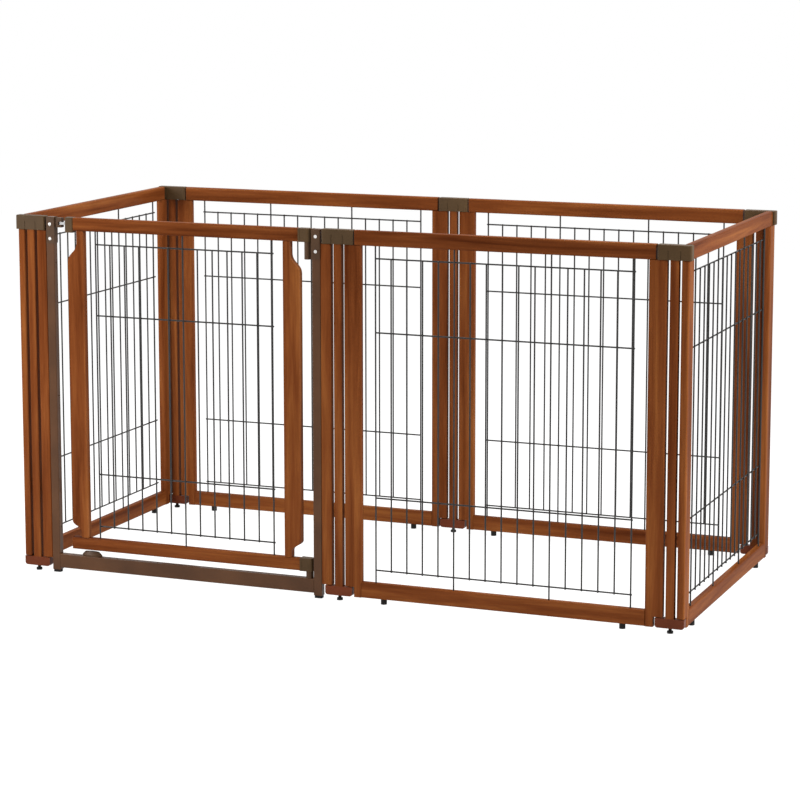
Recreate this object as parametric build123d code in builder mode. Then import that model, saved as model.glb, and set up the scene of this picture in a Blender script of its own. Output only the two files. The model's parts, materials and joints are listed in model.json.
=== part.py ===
import os
from math import cos, radians, sin

from build123d import *

os.makedirs("parts", exist_ok=True)

# Overall sizes, in millimetres
HEIGHT = 800.0
PANEL_WIDTH = 704.0
THICKNESS = 16.0
UNDERSIDE = 11.0
PIVOT_INSET = THICKNESS / 2
LINK_PITCH = 46.0
PIVOT_SPAN = PANEL_WIDTH - 2 * PIVOT_INSET

# Where the rows stand around the origin at the pen's middle
HALF_LENGTH = (3 * LINK_PITCH + 2 * PIVOT_SPAN) / 2
HALF_WIDTH = PIVOT_SPAN / 2
PANEL_OFFSET = (LINK_PITCH + PIVOT_SPAN) / 2
LINK_OFFSET = LINK_PITCH + PIVOT_SPAN

# Wooden bars of a wire panel
STILE_WIDTH = 38.0
TOP_RAIL = 32.0
BOTTOM_RAIL = 34.0
EDGE_RADIUS = 3.0
CAP_NOTCH = 24.0
BLOCK_NOTCH = 20.2
TENON_LENGTH = 12.0
TENON_DEPTH = 7.0
TENON_WIDTH = 18.0
FIT_SLACK = 0.2
RAIL_SEAT = HEIGHT - TOP_RAIL
RAIL_TOP = UNDERSIDE + BOTTOM_RAIL

# Wire grilles
WIRE_RADIUS = 1.7
WIRE_COUNT = 17
WIRE_MARGIN = 69.6
WIRE_PITCH = (PANEL_WIDTH - 2 * WIRE_MARGIN) / (WIRE_COUNT - 1)
WIRE_INSERT = 8.0
LONG_WIRE_INDEXES = (0, 5, 11, 16)
CROSS_GAP = 27.0
CROSS_STEP = 157.0
CROSS_HEIGHTS = (
    RAIL_TOP + CROSS_GAP,
    RAIL_TOP + CROSS_GAP + CROSS_STEP,
    RAIL_SEAT - CROSS_GAP - CROSS_STEP,
    RAIL_SEAT - CROSS_GAP,
)

# Feet
FOOT_RADIUS = 6.5
FOOT_INSET = 87.0
FOOT_OFFSET = PANEL_WIDTH / 2 - FOOT_INSET
FOOT_STUD = 2.5
STUD_LENGTH = 8.0
DISC_HEIGHT = 4.5
NECK_RADIUS = 3.5

# Double-pivot links between the panels
CAP_LENGTH = 72.0
CAP_DEPTH = 20.0
CAP_HEIGHT = 31.0
CAP_CORNER = 4.0
CAP_EDGE = 1.2
RIB_OFFSET = 13.0
RIB_WIDTH = 1.6
RIB_HEIGHT = 19.0
RIB_CUT = 0.6
BLOCK_LENGTH = LINK_PITCH + 2 * PIVOT_INSET
BLOCK_HEIGHT = 20.0
BLOCK_CORNER = 6.0
POST_WIDTH = 18.0
POST_DEPTH = 16.0
POST_RADIUS = 2.0
PEG_RADIUS = 4.0
PEG_CLEARANCE = 0.08
PEG_DEPTH = 18.0
BORE_DEPTH = 20.0
CAP_UNDER = HEIGHT - CAP_HEIGHT
BLOCK_TOP = UNDERSIDE + BLOCK_HEIGHT
EAR_GAP = 1.8
NOTCH_TOP = BLOCK_TOP + EAR_GAP

# Door frame
SIDE_POST = CAP_NOTCH
STEEL_WIDTH = 19.0
STEEL_BOTTOM = 6.0
STEEL_DROP = 1.5
STEEL_TOP = HEIGHT - STEEL_DROP
STEEL_EDGE = 1.5
STEEL_OUTER = PANEL_WIDTH / 2 - SIDE_POST
STEEL_INNER = STEEL_OUTER - STEEL_WIDTH
THRESHOLD_TOP = 42.0
PEEP_INSET = 103.0
PEEP_HEIGHTS = (PEEP_INSET, HEIGHT / 2, HEIGHT - PEEP_INSET)
PEEP_RADIUS = 1.8
PEEP_DEPTH = 6.0
PAD_LENGTH = 17.0
PAD_DEPTH = 13.0

# Brackets, latch and hinge of the door
PLATE = 1.2
PLATE_SHORT = 1.0
LATCH_PLATE_DROP = 59.0
LATCH_PLATE_BOTTOM = HEIGHT - LATCH_PLATE_DROP
HINGE_PLATE_DROP = 65.0
HINGE_PLATE_BOTTOM = HEIGHT - HINGE_PLATE_DROP
TOP_EASE = 1.0
PLATE_TOP = HEIGHT - TOP_EASE
SCREW_INSET = 9.0
SCREW_X = STEEL_INNER + SCREW_INSET
SCREW_DROPS = (49.0, 17.0)
SCREW_HEIGHTS = (HEIGHT - SCREW_DROPS[0], HEIGHT - SCREW_DROPS[1])
SCREW_SHANK = 1.8
SCREW_HEAD = 3.6
SCREW_PROUD = 0.8
SCREW_LENGTH = 9.0
SCREW_SLOT = 0.9
PILOT_CLEARANCE = 0.1
VENT_RADIUS = 1.1
VENT_INSET = 3.5
LATCH_VENT_RISE = 16.0
LATCH_VENT_Z = LATCH_PLATE_BOTTOM + LATCH_VENT_RISE
HINGE_VENT_RISE = 19.0
HINGE_VENT_Z = HINGE_PLATE_BOTTOM + HINGE_VENT_RISE
HINGE_INSET = 12.0
HINGE_X = STEEL_INNER - HINGE_INSET
PIN_RADIUS = 3.5
PIN_CLEARANCE = 0.06
BARREL_RADIUS = 8.0
BARREL_DROP = 2.0
BARREL_BOTTOM = HINGE_PLATE_BOTTOM - BARREL_DROP
WEB_DEPTH = 8.0
BUSH_GAP = 0.5
SOCKET_RADIUS = 9.0
COLLAR_LENGTH = 4.0
COLLAR_PROUD = 0.5
UPPER_PIN_DROP = 25.0
PIN_GRIP = 18.0
BUSH_FLOOR = 2.0

# Door leaf
LEAF_SHIFT = 2.0
LEAF_TOP = HEIGHT - TOP_EASE
LEAF_RAIL_TOP = 29.0
LEAF_BOTTOM = 57.0
LEAF_RAIL_BOTTOM = 27.5
LEAF_INNER_INSET = 69.5
LEAF_INNER = STEEL_INNER - LEAF_INNER_INSET
LEAF_WIDE = 38.0
LEAF_NARROW = 16.0
LEAF_WIRE_COUNT = 13
LEAF_LONG_WIRE_INDEXES = (0, 6, 12)
LEAF_SEAT = LEAF_TOP - LEAF_RAIL_TOP
LEAF_FLOOR = LEAF_BOTTOM + LEAF_RAIL_BOTTOM
SOCKET_RISE = 1.0
LOWER_SOCKET_TOP = LEAF_FLOOR + SOCKET_RISE
LEAF_CROSS_HEIGHTS = (LEAF_FLOOR + CROSS_GAP,) + CROSS_HEIGHTS[1:]
SWELL_DROPS = (100.0, 56.0)
TOP_SWELL = (HEIGHT - SWELL_DROPS[0], HEIGHT - SWELL_DROPS[1])
BOTTOM_SWELL = (98.0, 122.0)
SWELL_EASE = 0.5
LEAF_TOP_INSET = 47.4
LEAF_TOP_LEFT = LEAF_TOP_INSET - STEEL_INNER
LEAF_BOTTOM_INSET = 32.5
LEAF_BOTTOM_LEFT = LEAF_BOTTOM_INSET - STEEL_INNER
LEAF_HINGE_GAP = 20.0
LEAF_RIGHT = HINGE_X - LEAF_HINGE_GAP
LATCH_CAP_INSET = 27.3
LATCH_CAP_LEFT = LATCH_CAP_INSET - STEEL_INNER
LATCH_CAP_HEIGHT = 33.0
LATCH_CAP_BOTTOM = LEAF_TOP - LATCH_CAP_HEIGHT
LATCH_CAP_PROUD = 1.0

# Sliding latch bolt and its keeper
BOLT_SIZE = 6.0
BOLT_DROP = 15.0
BOLT_Z = HEIGHT - BOLT_DROP
BOLT_TIP_INSET = 11.0
BOLT_TIP = BOLT_TIP_INSET - STEEL_INNER
BOLT_LENGTH = 24.0
BOLT_END = BOLT_TIP + BOLT_LENGTH
BOLT_GAP = 0.4
BOLT_TRAVEL = 9.0
BOLT_END_GAP = 1.0
KEEPER_LENGTH = 18.0
KEEPER_RIGHT = KEEPER_LENGTH - STEEL_INNER
KEEPER_FRONT = 6.0
KEEPER_BELOW = 9.0
KEEPER_LOW = BOLT_Z - KEEPER_BELOW
KEEPER_ABOVE = 12.0
KEEPER_HIGH = BOLT_Z + KEEPER_ABOVE
KEEPER_GAP = 0.8
THUMB_INSET = 2.0
THUMB_X = BOLT_END - THUMB_INSET
THUMB_RADIUS = 2.4
THUMB_REACH = 13.0

# Turning stop on the threshold
KNOB_INSET = 77.5
KNOB_X = KNOB_INSET - STEEL_INNER
KNOB_LENGTH = 50.0
KNOB_DEPTH = 16.0
KNOB_HEIGHT = 11.0
KNOB_TAPER = 28.0
KNOB_BASE = 3.0
KNOB_GAP = 0.4
KNOB_PIN = 3.0
KNOB_PIN_DEPTH = 10.0


def standing_plane(x, y, turn):
    """Floor plane whose x runs along a panel and whose -y faces out of the pen."""
    along = (cos(radians(turn)), sin(radians(turn)), 0)
    return Plane(origin=(x, y, 0), x_dir=along, z_dir=(0, 0, 1))


def end_plane(base, x, z):
    """Upright plane across a panel, facing along it."""
    origin = base.from_local_coords((x, 0, z))
    return Plane(origin=origin, x_dir=base.y_dir, z_dir=base.x_dir)


def face_plane(base, y, z):
    """Upright plane along a panel, facing out of the pen."""
    origin = base.from_local_coords((0, y, z))
    return Plane(origin=origin, x_dir=base.x_dir, z_dir=base.y_dir * -1)


def save(builder, name):
    """Write one named piece."""
    builder.part.label = name
    export_step(builder.part, f"parts/{name}.step")


def wire_positions(count, shift=0.0):
    """Places of the upright wires along a panel."""
    first = shift - WIRE_PITCH * (count - 1) / 2
    return [first + WIRE_PITCH * i for i in range(count)]


def build_stiles(base, name):
    """Two upright bars, notched below for the link blocks, with tenons above."""
    tenon_x = PANEL_WIDTH / 2 - CAP_NOTCH - TENON_LENGTH / 2
    with BuildPart() as stiles:
        for side in (-1, 1):
            with BuildSketch(base.offset(NOTCH_TOP)):
                with Locations((side * (PANEL_WIDTH - STILE_WIDTH) / 2, 0)):
                    RectangleRounded(STILE_WIDTH, THICKNESS, EDGE_RADIUS)
            extrude(amount=RAIL_SEAT - NOTCH_TOP)
            with BuildSketch(base.offset(UNDERSIDE)):
                with Locations((side * (PANEL_WIDTH - STILE_WIDTH - BLOCK_NOTCH) / 2, 0)):
                    RectangleRounded(STILE_WIDTH - BLOCK_NOTCH, THICKNESS, EDGE_RADIUS)
            extrude(amount=NOTCH_TOP - UNDERSIDE)
            with BuildSketch(base.offset(RAIL_SEAT)):
                with Locations((side * tenon_x, 0)):
                    Rectangle(TENON_LENGTH, TENON_DEPTH)
            extrude(amount=TENON_LENGTH)
        # mortises for the bottom rail
        mortise_half = PANEL_WIDTH / 2 - STILE_WIDTH + TENON_LENGTH
        with BuildSketch(end_plane(base, -mortise_half, UNDERSIDE + BOTTOM_RAIL / 2)):
            Rectangle(TENON_DEPTH + FIT_SLACK, TENON_WIDTH + FIT_SLACK)
        extrude(amount=2 * mortise_half, mode=Mode.SUBTRACT)
        # pivot bores, above and below
        with BuildSketch(base.offset(RAIL_SEAT - BORE_DEPTH)):
            with Locations((-PIVOT_SPAN / 2, 0), (PIVOT_SPAN / 2, 0)):
                Circle(PEG_RADIUS + PEG_CLEARANCE)
        extrude(amount=BORE_DEPTH, mode=Mode.SUBTRACT)
        with BuildSketch(base.offset(NOTCH_TOP)):
            with Locations((-PIVOT_SPAN / 2, 0), (PIVOT_SPAN / 2, 0)):
                Circle(PEG_RADIUS + PEG_CLEARANCE)
        extrude(amount=BORE_DEPTH, mode=Mode.SUBTRACT)
    save(stiles, name)


def build_rails(base, name):
    """Top rail lying over the stiles and bottom rail tenoned between them."""
    top_half = PANEL_WIDTH / 2 - CAP_NOTCH
    bottom_half = PANEL_WIDTH / 2 - STILE_WIDTH
    wires = wire_positions(WIRE_COUNT)
    long_spots = [(wires[i], -WIRE_RADIUS) for i in LONG_WIRE_INDEXES]
    with BuildPart() as rails:
        with BuildSketch(end_plane(base, -top_half, RAIL_SEAT + TOP_RAIL / 2)):
            RectangleRounded(THICKNESS, TOP_RAIL, EDGE_RADIUS)
        extrude(amount=2 * top_half)
        with BuildSketch(end_plane(base, -bottom_half, UNDERSIDE + BOTTOM_RAIL / 2)):
            RectangleRounded(THICKNESS, BOTTOM_RAIL, EDGE_RADIUS)
        extrude(amount=2 * bottom_half)
        tenon_half = bottom_half + TENON_LENGTH - FIT_SLACK
        with BuildSketch(end_plane(base, -tenon_half, UNDERSIDE + BOTTOM_RAIL / 2)):
            Rectangle(TENON_DEPTH, TENON_WIDTH)
        extrude(amount=2 * tenon_half)
        # mortises for the stiles' tenons
        with BuildSketch(base.offset(RAIL_SEAT)):
            with Locations((-top_half + TENON_LENGTH / 2, 0), (top_half - TENON_LENGTH / 2, 0)):
                Rectangle(TENON_LENGTH + FIT_SLACK, TENON_DEPTH + FIT_SLACK)
        extrude(amount=TENON_LENGTH + FIT_SLACK, mode=Mode.SUBTRACT)
        # holes for the long wires
        for height in (RAIL_SEAT, RAIL_TOP - WIRE_INSERT - FIT_SLACK):
            with BuildSketch(base.offset(height)):
                with Locations(*long_spots):
                    Circle(WIRE_RADIUS + FIT_SLACK)
            extrude(amount=WIRE_INSERT + FIT_SLACK, mode=Mode.SUBTRACT)
        # holes for the feet
        with BuildSketch(base.offset(UNDERSIDE)):
            with Locations((-FOOT_OFFSET, 0), (FOOT_OFFSET, 0)):
                Circle(FOOT_STUD + FIT_SLACK)
        extrude(amount=STUD_LENGTH + FIT_SLACK, mode=Mode.SUBTRACT)
    save(rails, name)


def build_grille(base, name, count, long_wires, heights, ends, shift):
    """Upright wires with cross wires welded to their inner side."""
    wires = wire_positions(count, shift)
    low, high = ends
    with BuildPart() as grille:
        for i, x in enumerate(wires):
            bottom = low - WIRE_INSERT if i in long_wires else heights[0] - WIRE_RADIUS
            top = high + WIRE_INSERT if i in long_wires else heights[-1] + WIRE_RADIUS
            with BuildSketch(base.offset(bottom)):
                with Locations((x, -WIRE_RADIUS)):
                    Circle(WIRE_RADIUS)
            extrude(amount=top - bottom)
        for height in heights:
            with BuildSketch(end_plane(base, wires[0] - WIRE_RADIUS, height)):
                with Locations((WIRE_RADIUS, 0)):
                    Circle(WIRE_RADIUS)
            extrude(amount=wires[-1] - wires[0] + 2 * WIRE_RADIUS)
    save(grille, name)


def build_feet(base, name):
    """Two round rubber feet with studs pressed into the bottom rail."""
    with BuildPart() as feet:
        for x in (-FOOT_OFFSET, FOOT_OFFSET):
            with BuildSketch(base):
                with Locations((x, 0)):
                    Circle(FOOT_RADIUS)
            extrude(amount=UNDERSIDE)
            with BuildSketch(base.offset(UNDERSIDE)):
                with Locations((x, 0)):
                    Circle(FOOT_STUD)
            extrude(amount=STUD_LENGTH)
    save(feet, name)


def build_wire_panel(base, place):
    """All the pieces of one wire panel."""
    build_stiles(base, f"{place}_panel_stiles")
    build_rails(base, f"{place}_panel_rails")
    ends = (RAIL_TOP, RAIL_SEAT)
    build_grille(base, f"{place}_panel_grille", WIRE_COUNT, LONG_WIRE_INDEXES, CROSS_HEIGHTS, ends, 0.0)
    build_feet(base, f"{place}_panel_feet")


def build_cap(base, name):
    """Plastic cap with a peg down into each neighbouring panel."""
    with BuildPart() as cap:
        with BuildSketch(base.offset(CAP_UNDER)):
            RectangleRounded(CAP_LENGTH, CAP_DEPTH, CAP_CORNER)
        extrude(amount=CAP_HEIGHT)
        chamfer(cap.faces().sort_by(Axis.Z)[-1].edges(), CAP_EDGE)
        # shallow lines on both faces
        with BuildSketch(base.offset(CAP_UNDER)):
            with GridLocations(2 * RIB_OFFSET, CAP_DEPTH, 2, 2):
                Rectangle(RIB_WIDTH, 2 * RIB_CUT)
        extrude(amount=RIB_HEIGHT, mode=Mode.SUBTRACT)
        with BuildSketch(base.offset(CAP_UNDER)):
            with Locations((-LINK_PITCH / 2, 0), (LINK_PITCH / 2, 0)):
                Circle(PEG_RADIUS)
        extrude(amount=-PEG_DEPTH)
    save(cap, name)


def build_block(base, name):
    """Bottom block with rounded lower corners and a peg up into each panel."""
    with BuildPart() as block:
        with BuildSketch(face_plane(base, 0, UNDERSIDE + BLOCK_HEIGHT / 2)) as outline:
            Rectangle(BLOCK_LENGTH, BLOCK_HEIGHT)
            fillet(outline.vertices().group_by(Axis.Y)[0], BLOCK_CORNER)
        extrude(amount=THICKNESS / 2, both=True)
        with BuildSketch(base.offset(BLOCK_TOP)):
            with Locations((-LINK_PITCH / 2, 0), (LINK_PITCH / 2, 0)):
                Circle(PEG_RADIUS)
        extrude(amount=PEG_DEPTH)
        with BuildSketch(base.offset(UNDERSIDE)):
            Circle(FOOT_STUD + FIT_SLACK)
        extrude(amount=STUD_LENGTH + FIT_SLACK, mode=Mode.SUBTRACT)
    save(block, name)


def build_link(base, place):
    """All the pieces of one link: cap, slim post, block and foot."""
    build_cap(base, f"{place}_link_cap")
    build_block(base, f"{place}_link_block")
    with BuildPart() as post:
        with BuildSketch(base.offset(BLOCK_TOP)):
            RectangleRounded(POST_WIDTH, POST_DEPTH, POST_RADIUS)
        extrude(amount=CAP_UNDER - BLOCK_TOP)
    save(post, f"{place}_link_post")
    with BuildPart() as foot:
        with BuildSketch(base):
            Circle(FOOT_RADIUS)
        extrude(amount=DISC_HEIGHT)
        with BuildSketch(base.offset(DISC_HEIGHT)):
            Circle(NECK_RADIUS)
        extrude(amount=UNDERSIDE - DISC_HEIGHT)
        with BuildSketch(base.offset(UNDERSIDE)):
            Circle(FOOT_STUD)
        extrude(amount=STUD_LENGTH)
    save(foot, f"{place}_link_foot")


def build_door_frame(base):
    """Wooden side posts, steel posts, threshold and pads."""
    with BuildPart() as side_posts:
        with BuildSketch(base.offset(NOTCH_TOP)):
            with Locations((-(PANEL_WIDTH - SIDE_POST) / 2, 0), ((PANEL_WIDTH - SIDE_POST) / 2, 0)):
                RectangleRounded(SIDE_POST, THICKNESS, EDGE_RADIUS)
        extrude(amount=RAIL_SEAT - NOTCH_TOP)
        for height in (NOTCH_TOP, RAIL_SEAT - BORE_DEPTH):
            with BuildSketch(base.offset(height)):
                with Locations((-PIVOT_SPAN / 2, 0), (PIVOT_SPAN / 2, 0)):
                    Circle(PEG_RADIUS + PEG_CLEARANCE)
            extrude(amount=BORE_DEPTH, mode=Mode.SUBTRACT)
    save(side_posts, "door_frame_wood_posts")

    with BuildPart() as steel_posts:
        with BuildSketch(base.offset(STEEL_BOTTOM)):
            with Locations((-STEEL_OUTER + STEEL_WIDTH / 2, 0), (STEEL_OUTER - STEEL_WIDTH / 2, 0)):
                RectangleRounded(STEEL_WIDTH, THICKNESS, STEEL_EDGE)
        extrude(amount=STEEL_TOP - STEEL_BOTTOM)
        # screw holes in the front
        with BuildSketch(face_plane(base, -THICKNESS / 2, 0)):
            with Locations(*[(side * SCREW_X, z) for side in (-1, 1) for z in SCREW_HEIGHTS]):
                Circle(SCREW_SHANK + PILOT_CLEARANCE)
        extrude(amount=-SCREW_LENGTH, mode=Mode.SUBTRACT)
        # small holes down the inner side of the left post
        for z in PEEP_HEIGHTS:
            with BuildSketch(end_plane(base, -STEEL_INNER, z)):
                Circle(PEEP_RADIUS)
            extrude(amount=-PEEP_DEPTH, mode=Mode.SUBTRACT)
    save(steel_posts, "door_frame_steel_posts")

    with BuildPart() as threshold:
        with BuildSketch(end_plane(base, -STEEL_INNER, (UNDERSIDE + THRESHOLD_TOP) / 2)):
            RectangleRounded(THICKNESS, THRESHOLD_TOP - UNDERSIDE, STEEL_EDGE)
        extrude(amount=2 * STEEL_INNER)
        with BuildSketch(base.offset(THRESHOLD_TOP)):
            with Locations((KNOB_X, 0)):
                Circle(KNOB_PIN + PEG_CLEARANCE)
        extrude(amount=-KNOB_PIN_DEPTH - KNOB_GAP, mode=Mode.SUBTRACT)
    save(threshold, "door_frame_threshold")

    with BuildPart() as pads:
        with BuildSketch(base):
            with Locations((-STEEL_OUTER + STEEL_WIDTH / 2, 0), (STEEL_OUTER - STEEL_WIDTH / 2, 0)):
                RectangleRounded(PAD_LENGTH, PAD_DEPTH, POST_RADIUS)
        extrude(amount=STEEL_BOTTOM)
    save(pads, "door_frame_pads")


def build_brackets(base):
    """Latch bracket with its keeper, hinge bracket with its barrel, lower bush and screws."""
    front = -THICKNESS / 2 - PLATE
    plate_width = STEEL_WIDTH - PLATE_SHORT + PLATE
    with BuildPart() as latch_bracket:
        plate_x = -STEEL_INNER + PLATE - plate_width / 2
        with BuildSketch(base.offset(LATCH_PLATE_BOTTOM)):
            with Locations((plate_x, front + PLATE / 2)):
                Rectangle(plate_width, PLATE)
            with Locations((-STEEL_INNER + PLATE / 2, -PLATE / 2)):
                Rectangle(PLATE, THICKNESS + PLATE)
        extrude(amount=PLATE_TOP - LATCH_PLATE_BOTTOM)
        # keeper, open towards the leaf and towards the front
        with BuildSketch(base.offset(KEEPER_LOW)):
            with Locations(((KEEPER_RIGHT - STEEL_INNER + PLATE) / 2, 0)):
                Rectangle(STEEL_INNER - PLATE + KEEPER_RIGHT, 2 * KEEPER_FRONT)
        extrude(amount=KEEPER_HIGH - KEEPER_LOW)
        with BuildSketch(base.offset(BOLT_Z - BOLT_SIZE / 2 - BOLT_GAP)):
            with Locations((BOLT_TIP - KEEPER_GAP, -THICKNESS)):
                Rectangle(THICKNESS, THICKNESS + BOLT_SIZE / 2 + BOLT_GAP, align=(Align.MIN, Align.MIN))
        extrude(amount=BOLT_SIZE + 2 * BOLT_GAP, mode=Mode.SUBTRACT)
        with BuildSketch(face_plane(base, front, 0)):
            with Locations(*[(-SCREW_X, z) for z in SCREW_HEIGHTS]):
                Circle(SCREW_SHANK + PILOT_CLEARANCE)
            with Locations((-STEEL_INNER - VENT_INSET / 2, LATCH_VENT_Z)):
                Circle(VENT_RADIUS)
        extrude(amount=-PLATE, mode=Mode.SUBTRACT)
    save(latch_bracket, "latch_bracket")

    with BuildPart() as hinge_mounts:
        plate_x = STEEL_INNER - PLATE + plate_width / 2
        with BuildSketch(base.offset(HINGE_PLATE_BOTTOM)):
            with Locations((plate_x, front + PLATE / 2)):
                Rectangle(plate_width, PLATE)
            with Locations((STEEL_INNER - PLATE / 2, -PLATE / 2)):
                Rectangle(PLATE, THICKNESS + PLATE)
        extrude(amount=PLATE_TOP - HINGE_PLATE_BOTTOM)
        with BuildSketch(face_plane(base, front, 0)):
            with Locations(*[(SCREW_X, z) for z in SCREW_HEIGHTS]):
                Circle(SCREW_SHANK + PILOT_CLEARANCE)
            with Locations((STEEL_OUTER - VENT_INSET, HINGE_VENT_Z)):
                Circle(VENT_RADIUS)
        extrude(amount=-PLATE, mode=Mode.SUBTRACT)
        # barrel and its web
        with BuildSketch(base.offset(BARREL_BOTTOM)):
            with Locations((HINGE_X, 0)):
                Circle(BARREL_RADIUS)
            with Locations(((HINGE_X + STEEL_INNER - PLATE) / 2, 0)):
                Rectangle(STEEL_INNER - PLATE - HINGE_X, WEB_DEPTH)
        extrude(amount=LEAF_SEAT - BUSH_GAP - BARREL_BOTTOM)
        # lower bush standing on the threshold
        with BuildSketch(base.offset(THRESHOLD_TOP)):
            with Locations((HINGE_X, 0)):
                Circle(BARREL_RADIUS)
        extrude(amount=LEAF_BOTTOM - BUSH_GAP - THRESHOLD_TOP)
        with BuildSketch(base.offset(THRESHOLD_TOP + BUSH_FLOOR)):
            with Locations((HINGE_X, 0)):
                Circle(PIN_RADIUS + PIN_CLEARANCE)
        extrude(amount=LEAF_SEAT - THRESHOLD_TOP, mode=Mode.SUBTRACT)
    save(hinge_mounts, "hinge_bracket_and_bush")

    with BuildPart() as screws:
        for side in (-1, 1):
            for z in SCREW_HEIGHTS:
                with BuildSketch(face_plane(base, front, 0)):
                    with Locations((side * SCREW_X, z)):
                        Circle(SCREW_HEAD)
                extrude(amount=SCREW_PROUD)
                with BuildSketch(face_plane(base, front, 0)):
                    with Locations((side * SCREW_X, z)):
                        Circle(SCREW_SHANK)
                extrude(amount=-SCREW_LENGTH)
                with BuildSketch(face_plane(base, front - SCREW_PROUD, 0)):
                    with Locations((side * SCREW_X, z)):
                        Rectangle(SCREW_HEAD, SCREW_SLOT)
                        Rectangle(SCREW_SLOT, SCREW_HEAD)
                extrude(amount=-SCREW_PROUD / 2, mode=Mode.SUBTRACT)
    save(screws, "bracket_screws")


def build_leaf(base):
    """Door leaf: rails, waisted stiles, grille, latch cap, hinge sockets and pins."""
    wires = wire_positions(LEAF_WIRE_COUNT, LEAF_SHIFT)
    with BuildPart() as rails:
        with BuildSketch(end_plane(base, LEAF_TOP_LEFT, LEAF_TOP - LEAF_RAIL_TOP / 2)):
            RectangleRounded(THICKNESS, LEAF_RAIL_TOP, EDGE_RADIUS)
        extrude(amount=LEAF_RIGHT - LEAF_TOP_LEFT)
        with BuildSketch(end_plane(base, LEAF_BOTTOM_LEFT, LEAF_BOTTOM + LEAF_RAIL_BOTTOM / 2)):
            RectangleRounded(THICKNESS, LEAF_RAIL_BOTTOM, EDGE_RADIUS)
        extrude(amount=LEAF_RIGHT - LEAF_BOTTOM_LEFT)
        for height in (LEAF_SEAT, LEAF_FLOOR - WIRE_INSERT - FIT_SLACK):
            with BuildSketch(base.offset(height)):
                with Locations(*[(wires[i], -WIRE_RADIUS) for i in LEAF_LONG_WIRE_INDEXES]):
                    Circle(WIRE_RADIUS + FIT_SLACK)
            extrude(amount=WIRE_INSERT + FIT_SLACK, mode=Mode.SUBTRACT)
    save(rails, "leaf_rails")

    with BuildPart() as stiles:
        for side in (-1, 1):
            inner = LEAF_SHIFT + side * LEAF_INNER
            narrow = inner + side * LEAF_NARROW
            wide = inner + side * LEAF_WIDE
            top_ease = (TOP_SWELL[1] - TOP_SWELL[0]) * SWELL_EASE
            low_ease = (BOTTOM_SWELL[1] - BOTTOM_SWELL[0]) * SWELL_EASE
            with BuildSketch(face_plane(base, 0, 0)):
                with BuildLine():
                    Line((narrow, LEAF_FLOOR), (inner, LEAF_FLOOR))
                    Line((inner, LEAF_FLOOR), (inner, LEAF_SEAT))
                    Line((inner, LEAF_SEAT), (narrow, LEAF_SEAT))
                    Line((narrow, LEAF_SEAT), (narrow, TOP_SWELL[1]))
                    Bezier(
                        (narrow, TOP_SWELL[1]),
                        (narrow, TOP_SWELL[1] - top_ease),
                        (wide, TOP_SWELL[0] + top_ease),
                        (wide, TOP_SWELL[0]),
                    )
                    Line((wide, TOP_SWELL[0]), (wide, BOTTOM_SWELL[1]))
                    Bezier(
                        (wide, BOTTOM_SWELL[1]),
                        (wide, BOTTOM_SWELL[1] - low_ease),
                        (narrow, BOTTOM_SWELL[0] + low_ease),
                        (narrow, BOTTOM_SWELL[0]),
                    )
                    Line((narrow, BOTTOM_SWELL[0]), (narrow, LEAF_FLOOR))
                make_face()
            extrude(amount=THICKNESS / 2, both=True)
    save(stiles, "leaf_stiles")

    ends = (LEAF_FLOOR, LEAF_SEAT)
    long_ones = LEAF_LONG_WIRE_INDEXES
    build_grille(base, "leaf_grille", LEAF_WIRE_COUNT, long_ones, LEAF_CROSS_HEIGHTS, ends, LEAF_SHIFT)

    cap_depth = THICKNESS + 2 * LATCH_CAP_PROUD
    with BuildPart() as latch_cap:
        with BuildSketch(base.offset(LATCH_CAP_BOTTOM)):
            with Locations(((LATCH_CAP_LEFT + LEAF_TOP_LEFT) / 2, 0)):
                RectangleRounded(LEAF_TOP_LEFT - LATCH_CAP_LEFT, cap_depth, EDGE_RADIUS)
        extrude(amount=LEAF_TOP - LATCH_CAP_BOTTOM)
        # channel for the bolt and slot for its thumb stud
        with BuildSketch(end_plane(base, LATCH_CAP_LEFT, BOLT_Z)):
            Rectangle(BOLT_SIZE + 2 * BOLT_GAP, BOLT_SIZE + 2 * BOLT_GAP)
        extrude(amount=BOLT_END + BOLT_TRAVEL + BOLT_END_GAP - LATCH_CAP_LEFT, mode=Mode.SUBTRACT)
        with BuildSketch(face_plane(base, 0, BOLT_Z)):
            with Locations((THUMB_X + BOLT_TRAVEL / 2, 0)):
                SlotCenterToCenter(BOLT_TRAVEL, 2 * (THUMB_RADIUS + BOLT_GAP))
        extrude(amount=-cap_depth, mode=Mode.SUBTRACT)
    save(latch_cap, "leaf_latch_cap")

    with BuildPart() as sockets:
        for low, high in ((LEAF_SEAT, LEAF_TOP), (LEAF_BOTTOM, LOWER_SOCKET_TOP)):
            with BuildSketch(base.offset(low)):
                with Locations(((LEAF_RIGHT + HINGE_X) / 2, 0)):
                    Rectangle(HINGE_X - LEAF_RIGHT, 2 * SOCKET_RADIUS)
                with Locations((LEAF_RIGHT + COLLAR_LENGTH / 2, 0)):
                    Rectangle(COLLAR_LENGTH, 2 * (SOCKET_RADIUS + COLLAR_PROUD))
                with Locations((HINGE_X, 0)):
                    Circle(SOCKET_RADIUS)
            extrude(amount=high - low)
        for low in (LEAF_SEAT, LEAF_BOTTOM):
            with BuildSketch(base.offset(low)):
                with Locations((HINGE_X, 0)):
                    Circle(PIN_RADIUS + PILOT_CLEARANCE)
            extrude(amount=PIN_GRIP, mode=Mode.SUBTRACT)
    save(sockets, "leaf_hinge_sockets")

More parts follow.
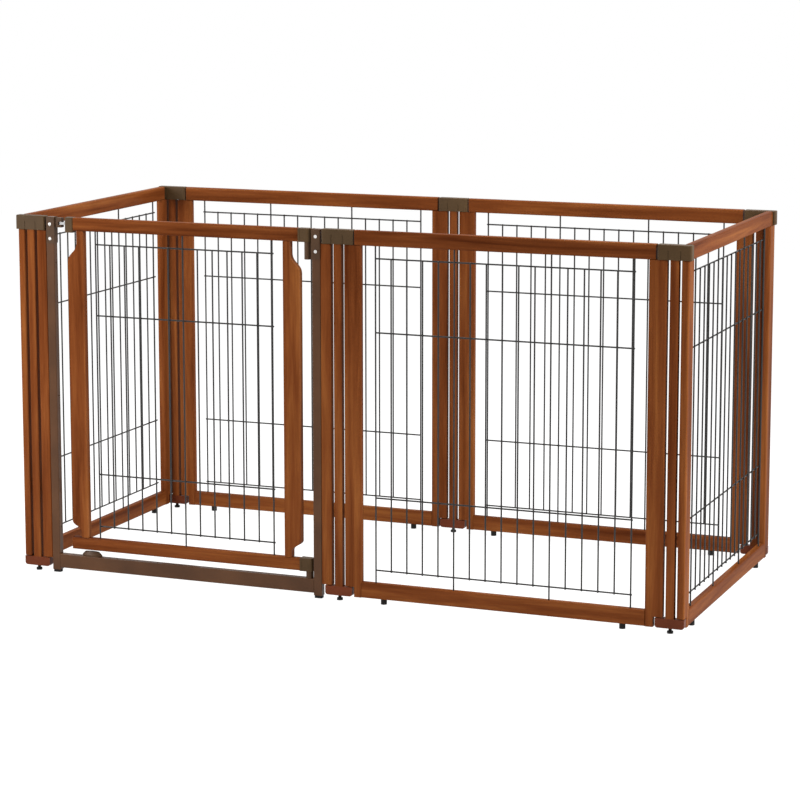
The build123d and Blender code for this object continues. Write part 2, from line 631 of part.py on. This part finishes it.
    with BuildPart() as pins:
        with BuildSketch(base.offset(LEAF_SEAT - UPPER_PIN_DROP)):
            with Locations((HINGE_X, 0)):
                Circle(PIN_RADIUS)
        extrude(amount=UPPER_PIN_DROP + PIN_GRIP)
        with BuildSketch(base.offset(THRESHOLD_TOP + BUSH_FLOOR + BUSH_GAP)):
            with Locations((HINGE_X, 0)):
                Circle(PIN_RADIUS)
        extrude(amount=LEAF_BOTTOM + PIN_GRIP - THRESHOLD_TOP - BUSH_FLOOR - BUSH_GAP)
    save(pins, "leaf_hinge_pins")


def build_latch_bolt(base):
    """Square bolt with a thumb stud on the inside of the pen."""
    with BuildPart() as bolt:
        with BuildSketch(end_plane(base, BOLT_TIP, BOLT_Z)):
            Rectangle(BOLT_SIZE, BOLT_SIZE)
        extrude(amount=BOLT_END - BOLT_TIP)
        with BuildSketch(face_plane(base, BOLT_SIZE / 2, BOLT_Z)):
            with Locations((THUMB_X, 0)):
                Circle(THUMB_RADIUS)
        extrude(amount=BOLT_SIZE / 2 - THUMB_REACH)
    save(bolt, "latch_bolt")


def build_turn_stop(base):
    """Low oval knob on a pin, turning on the threshold."""
    seat = THRESHOLD_TOP + KNOB_GAP
    tip = KNOB_LENGTH / 2
    with BuildPart() as knob:
        with BuildSketch(base.offset(seat)):
            with BuildLine():
                ThreePointArc((KNOB_X - tip, 0), (KNOB_X, -KNOB_DEPTH / 2), (KNOB_X + tip, 0))
                ThreePointArc((KNOB_X + tip, 0), (KNOB_X, KNOB_DEPTH / 2), (KNOB_X - tip, 0))
            make_face()
        extrude(amount=KNOB_BASE)
        extrude(knob.faces().sort_by(Axis.Z)[-1], amount=KNOB_HEIGHT - KNOB_BASE, taper=KNOB_TAPER)
        with BuildSketch(base.offset(seat)):
            with Locations((KNOB_X, 0)):
                Circle(KNOB_PIN)
        extrude(amount=-KNOB_PIN_DEPTH)
    save(knob, "threshold_turn_stop")


# Wire panels, walking round the pen from the front right
build_wire_panel(standing_plane(PANEL_OFFSET, -HALF_WIDTH, 0), "front_right")
build_wire_panel(standing_plane(HALF_LENGTH, 0, 90), "right_side")
build_wire_panel(standing_plane(PANEL_OFFSET, HALF_WIDTH, 180), "back_right")
build_wire_panel(standing_plane(-PANEL_OFFSET, HALF_WIDTH, 180), "back_left")
build_wire_panel(standing_plane(-HALF_LENGTH, 0, 270), "left_side")

# Links in line with the front and back rows
build_link(standing_plane(-LINK_OFFSET, -HALF_WIDTH, 0), "front_left")
build_link(standing_plane(0, -HALF_WIDTH, 0), "front_middle")
build_link(standing_plane(LINK_OFFSET, -HALF_WIDTH, 0), "front_right")
build_link(standing_plane(LINK_OFFSET, HALF_WIDTH, 180), "back_right")
build_link(standing_plane(0, HALF_WIDTH, 180), "back_middle")
build_link(standing_plane(-LINK_OFFSET, HALF_WIDTH, 180), "back_left")

# Door panel at the front left
door = standing_plane(-PANEL_OFFSET, -HALF_WIDTH, 0)
build_door_frame(door)
build_brackets(door)
build_leaf(door)
build_latch_bolt(door)
build_turn_stop(door)
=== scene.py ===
"""Folding wooden pet playpen: procedural looks, studio light and the photo's viewpoint."""

import json
import math

import bpy
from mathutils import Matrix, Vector

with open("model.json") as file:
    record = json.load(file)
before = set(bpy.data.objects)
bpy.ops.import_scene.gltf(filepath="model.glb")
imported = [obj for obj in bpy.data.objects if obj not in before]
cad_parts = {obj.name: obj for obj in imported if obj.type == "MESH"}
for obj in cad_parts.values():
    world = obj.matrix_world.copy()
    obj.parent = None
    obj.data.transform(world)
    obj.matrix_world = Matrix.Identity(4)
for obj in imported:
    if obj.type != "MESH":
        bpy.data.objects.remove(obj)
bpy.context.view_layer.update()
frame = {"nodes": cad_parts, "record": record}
nodes = frame["nodes"]

# Camera fitted to the photo, in metres from the pen's middle on the floor
CAMERA_PLACE = (2.1782, -5.4227, 1.4360)
CAMERA_YAW = 0.3778
CAMERA_PITCH = -0.1490
FOCAL_PIXELS = 2644.7
PHOTO_PIXELS = 800.0
PRINCIPAL_POINT = (410.4, 320.0)
SENSOR = 36.0

# Colours, linear
WOOD_DARK = (0.084, 0.019, 0.004)
WOOD_MID = (0.168, 0.047, 0.012)
WOOD_LIGHT = (0.275, 0.095, 0.024)
STEEL_BROWN = (0.074, 0.030, 0.011)
CAP_BROWN = (0.066, 0.037, 0.015)
BRACKET_BROWN = (0.062, 0.032, 0.016)
BLOCK_RED = (0.118, 0.026, 0.008)
WIRE_GREY = (0.020, 0.019, 0.018)
RUBBER_BLACK = (0.012, 0.011, 0.010)
SCREW_SILVER = (0.72, 0.70, 0.68)
PIN_GREY = (0.35, 0.35, 0.35)
WHITE = (1.0, 1.0, 1.0)

UPRIGHT, ALONG_X, ALONG_Y = 2, 0, 1


class Shader:
    """A small helper that adds and joins shader nodes."""

    def __init__(self, name):
        self.material = bpy.data.materials.new(name)
        self.material.use_nodes = True
        self.tree = self.material.node_tree
        self.tree.nodes.clear()
        self.out = self.add("ShaderNodeOutputMaterial")

    def add(self, kind, **settings):
        node = self.tree.nodes.new(kind)
        for key, value in settings.items():
            setattr(node, key, value)
        return node

    def join(self, source, target):
        self.tree.links.new(source, target)

    def coordinates(self, scale, offset=(0.0, 0.0, 0.0)):
        """Object coordinates, stretched by scale."""
        place = self.add("ShaderNodeTexCoord")
        mapping = self.add("ShaderNodeMapping")
        mapping.inputs["Scale"].default_value = scale
        mapping.inputs["Location"].default_value = offset
        self.join(place.outputs["Object"], mapping.inputs["Vector"])
        return mapping.outputs["Vector"]

    def noise(self, vector, scale, detail=4.0, roughness=0.55, distortion=0.0):
        node = self.add("ShaderNodeTexNoise")
        node.inputs["Scale"].default_value = scale
        node.inputs["Detail"].default_value = detail
        node.inputs["Roughness"].default_value = roughness
        node.inputs["Distortion"].default_value = distortion
        self.join(vector, node.inputs["Vector"])
        return node.outputs["Fac"]

    def ramp(self, factor, stops):
        node = self.add("ShaderNodeValToRGB")
        elements = node.color_ramp.elements
        while len(elements) < len(stops):
            elements.new(0.5)
        for element, (position, colour) in zip(elements, stops):
            element.position = position
            element.color = (*colour, 1.0)
        self.join(factor, node.inputs["Fac"])
        return node.outputs["Color"]

    def mix(self, factor, first, second, blend="MIX"):
        node = self.add("ShaderNodeMix", data_type="RGBA", blend_type=blend)
        for socket_name, value in (("Factor", factor), ("A", first), ("B", second)):
            socket = node.inputs[socket_name]
            if isinstance(value, (int, float)):
                socket.default_value = value
            elif isinstance(value, tuple):
                socket.default_value = (*value, 1.0)
            else:
                self.join(value, socket)
        return node.outputs["Result"]

    def spread(self, factor, low_value, high_value):
        """Maps 0 to 1 onto a range of values."""
        node = self.add("ShaderNodeMapRange")
        node.inputs["To Min"].default_value = low_value
        node.inputs["To Max"].default_value = high_value
        self.join(factor, node.inputs["Value"])
        return node.outputs["Result"]

    def bump(self, height, strength, distance):
        node = self.add("ShaderNodeBump")
        node.inputs["Strength"].default_value = strength
        node.inputs["Distance"].default_value = distance
        self.join(height, node.inputs["Height"])
        return node.outputs["Normal"]

    def surface(self, colour, roughness, normal, **constants):
        shader = self.add("ShaderNodeBsdfPrincipled")
        self.join(colour, shader.inputs["Base Color"])
        self.join(roughness, shader.inputs["Roughness"])
        self.join(normal, shader.inputs["Normal"])
        for name, value in constants.items():
            shader.inputs[name.replace("_", " ")].default_value = value
        self.join(shader.outputs["BSDF"], self.out.inputs["Surface"])
        return self.material


def wood(name, along, shift):
    """Stained and lacquered wood with its grain along one axis."""
    shader = Shader(name)
    stretch = [1.0, 1.0, 1.0]
    stretch[along] = 0.045
    grain_space = shader.coordinates(tuple(stretch), (shift, shift * 0.7, shift * 1.3))
    figure = shader.noise(grain_space, 42.0, 6.0, 0.6, 0.4)
    fine = shader.noise(grain_space, 420.0, 3.0, 0.7)
    broad = shader.noise(shader.coordinates((1.0, 1.0, 1.0), (shift, 0.0, 0.0)), 3.2, 2.0, 0.5)
    tone = shader.ramp(figure, ((0.30, WOOD_DARK), (0.50, WOOD_MID), (0.72, WOOD_LIGHT)))
    fine_tone = shader.ramp(fine, ((0.35, (0.80, 0.78, 0.76)), (0.65, WHITE)))
    grained = shader.mix(0.75, tone, fine_tone, "MULTIPLY")
    patch = shader.ramp(broad, ((0.35, (0.86, 0.80, 0.78)), (0.65, (1.08, 1.08, 1.08))))
    colour = shader.mix(0.8, grained, patch, "MULTIPLY")
    roughness = shader.spread(fine, 0.34, 0.50)
    normal = shader.bump(fine, 0.10, 0.0006)
    lacquer = {"Coat_Weight": 0.18, "Coat_IOR": 1.25, "Coat_Roughness": 0.16, "Specular_IOR_Level": 0.0}
    return shader.surface(colour, roughness, normal, **lacquer)


def coated(name, colour, roughness, grain_scale, bump_strength, metallic=0.0, coat=0.0):
    """Painted, moulded or plated surface with slight unevenness."""
    shader = Shader(name)
    space = shader.coordinates((1.0, 1.0, 1.0))
    speckle = shader.noise(space, grain_scale, 3.0, 0.6)
    cloud = shader.noise(space, 9.0, 3.0, 0.5)
    darker = tuple(c * 0.82 for c in colour)
    lighter = tuple(min(1.0, c * 1.18) for c in colour)
    tone = shader.ramp(cloud, ((0.35, darker), (0.65, lighter)))
    worn = shader.ramp(speckle, ((0.40, (0.90, 0.90, 0.90)), (0.60, WHITE)))
    mixed = shader.mix(0.7, tone, worn, "MULTIPLY")
    gloss = shader.spread(speckle, roughness - 0.06, roughness + 0.08)
    normal = shader.bump(speckle, bump_strength, 0.0003)
    level = 0.5 if metallic else 0.12
    return shader.surface(mixed, gloss, normal, Metallic=metallic, Coat_Weight=coat, Specular_IOR_Level=level)


wood_upright = wood("wood_upright", UPRIGHT, 0.0)
wood_front_rails = wood("wood_rails_along_front", ALONG_X, 3.1)
wood_side_rails = wood("wood_rails_along_sides", ALONG_Y, 7.7)
looks = {
    "wire": coated("wire_paint", WIRE_GREY, 0.38, 900.0, 0.05, coat=0.2),
    "frame_steel": coated("frame_steel_paint", STEEL_BROWN, 0.42, 700.0, 0.10, coat=0.15),
    "cap_plastic": coated("cap_plastic", CAP_BROWN, 0.46, 1100.0, 0.15),
    "bracket_plastic": coated("bracket_plastic", BRACKET_BROWN, 0.48, 1100.0, 0.15),
    "block_plastic": coated("block_plastic", BLOCK_RED, 0.42, 900.0, 0.10),
    "rubber": coated("rubber", RUBBER_BLACK, 0.65, 1300.0, 0.20),
    "screw_steel": coated("screw_plating", SCREW_SILVER, 0.25, 600.0, 0.05, metallic=1.0),
    "pin_steel": coated("pin_steel", PIN_GREY, 0.30, 600.0, 0.05, metallic=1.0),
}
slots = {part["node"]: part["material_slot"] for part in frame["record"]["subparts"]}


def wood_for(name):
    """Grain runs along each bar."""
    if not name.endswith("rails"):
        return wood_upright
    return wood_side_rails if "_side_" in name else wood_front_rails


for name, piece in nodes.items():
    look = wood_for(name) if slots[name] == "wood" else looks[slots[name]]
    piece.data.materials.clear()
    piece.data.materials.append(look)

# Floor, white to the camera and pale to the light that it sends back
FLOOR_SIZE = 12.0
FLOOR_DROP = 0.0005
FLOOR_TINT = (0.80, 0.80, 0.80)
FLOOR_GLOW = 0.93
FLOOR_SHADE = (0.20, 0.20, 0.20)

floor_mesh = bpy.data.meshes.new("floor")
corner = FLOOR_SIZE / 2
plan = ((-corner, -corner), (corner, -corner), (corner, corner), (-corner, corner))
corners = [(x, y, -FLOOR_DROP) for x, y in plan]
floor_mesh.from_pydata(corners, [], [(0, 1, 2, 3)])
floor = bpy.data.objects.new("floor", floor_mesh)
bpy.context.scene.collection.objects.link(floor)


def white_to_camera(tree, other):
    """Mixer giving camera, see-through and mirror rays its second shader, and all other rays the first."""
    path = tree.nodes.new("ShaderNodeLightPath")
    either = tree.nodes.new("ShaderNodeMath")
    either.operation = "MAXIMUM"
    tree.links.new(path.outputs["Is Camera Ray"], either.inputs[0])
    tree.links.new(path.outputs["Is Transmission Ray"], either.inputs[1])
    both = tree.nodes.new("ShaderNodeMath")
    both.operation = "MAXIMUM"
    tree.links.new(either.outputs[0], both.inputs[0])
    tree.links.new(path.outputs["Is Glossy Ray"], both.inputs[1])
    mixer = tree.nodes.new("ShaderNodeMixShader")
    tree.links.new(both.outputs[0], mixer.inputs["Fac"])
    tree.links.new(other, mixer.inputs[1])
    return mixer


floor_look = bpy.data.materials.new("floor")
floor_look.use_nodes = True
floor_tree = floor_look.node_tree
floor_tree.nodes.clear()
floor_out = floor_tree.nodes.new("ShaderNodeOutputMaterial")
floor_matte = floor_tree.nodes.new("ShaderNodeBsdfDiffuse")
floor_matte.inputs["Color"].default_value = (*FLOOR_TINT, 1.0)
floor_glow = floor_tree.nodes.new("ShaderNodeEmission")
floor_glow.inputs["Strength"].default_value = FLOOR_GLOW
floor_shade = floor_tree.nodes.new("ShaderNodeBsdfDiffuse")
floor_shade.inputs["Color"].default_value = (*FLOOR_SHADE, 1.0)
floor_white = floor_tree.nodes.new("ShaderNodeAddShader")
floor_tree.links.new(floor_glow.outputs["Emission"], floor_white.inputs[0])
floor_tree.links.new(floor_shade.outputs["BSDF"], floor_white.inputs[1])
floor_mix = white_to_camera(floor_tree, floor_matte.outputs["BSDF"])
floor_tree.links.new(floor_white.outputs["Shader"], floor_mix.inputs[2])
floor_tree.links.new(floor_mix.outputs["Shader"], floor_out.inputs["Surface"])
floor_mesh.materials.append(floor_look)

# World
WORLD_LEVEL = 0.36
world = bpy.data.worlds.new("studio")
bpy.context.scene.world = world
world.use_nodes = True
world_tree = world.node_tree
world_tree.nodes.clear()
world_out = world_tree.nodes.new("ShaderNodeOutputWorld")
ambient = world_tree.nodes.new("ShaderNodeBackground")
ambient.inputs["Strength"].default_value = WORLD_LEVEL
ambient.inputs["Color"].default_value = (*WHITE, 1.0)
backdrop = world_tree.nodes.new("ShaderNodeBackground")
backdrop.inputs["Strength"].default_value = 1.0
backdrop.inputs["Color"].default_value = (*WHITE, 1.0)
world_mix = white_to_camera(world_tree, ambient.outputs["Background"])
world_tree.links.new(backdrop.outputs["Background"], world_mix.inputs[2])
world_tree.links.new(world_mix.outputs["Shader"], world_out.inputs["Surface"])


def lamp(name, place, target, size, power):
    """Square soft box aimed at a point."""
    data = bpy.data.lights.new(name, "AREA")
    data.shape = "SQUARE"
    data.size = size
    data.energy = power
    holder = bpy.data.objects.new(name, data)
    bpy.context.scene.collection.objects.link(holder)
    holder.location = place
    aim = Vector(target) - Vector(place)
    holder.rotation_euler = aim.to_track_quat("-Z", "Y").to_euler()


lamp("key", (3.4, -0.9, 1.9), (0.4, 0.0, 0.4), 1.2, 122.0)
lamp("fill", (-1.9, -1.4, 1.2), (-0.9, -0.2, 0.4), 0.9, 46.0)
lamp("top", (0.2, 0.4, 3.0), (0.0, 0.0, 0.4), 1.6, 66.0)

# Camera
camera_data = bpy.data.cameras.new("camera")
camera_data.sensor_width = SENSOR
camera_data.lens = FOCAL_PIXELS * SENSOR / PHOTO_PIXELS
camera_data.shift_x = (PHOTO_PIXELS / 2 - PRINCIPAL_POINT[0]) / PHOTO_PIXELS
camera_data.shift_y = (PRINCIPAL_POINT[1] - PHOTO_PIXELS / 2) / PHOTO_PIXELS
camera_data.dof.use_dof = False
camera = bpy.data.objects.new("camera", camera_data)
bpy.context.scene.collection.objects.link(camera)
camera.location = CAMERA_PLACE
camera.rotation_euler = (math.pi / 2 + CAMERA_PITCH, 0.0, CAMERA_YAW)
bpy.context.scene.camera = camera
bpy.context.scene.view_settings.view_transform = "Standard"
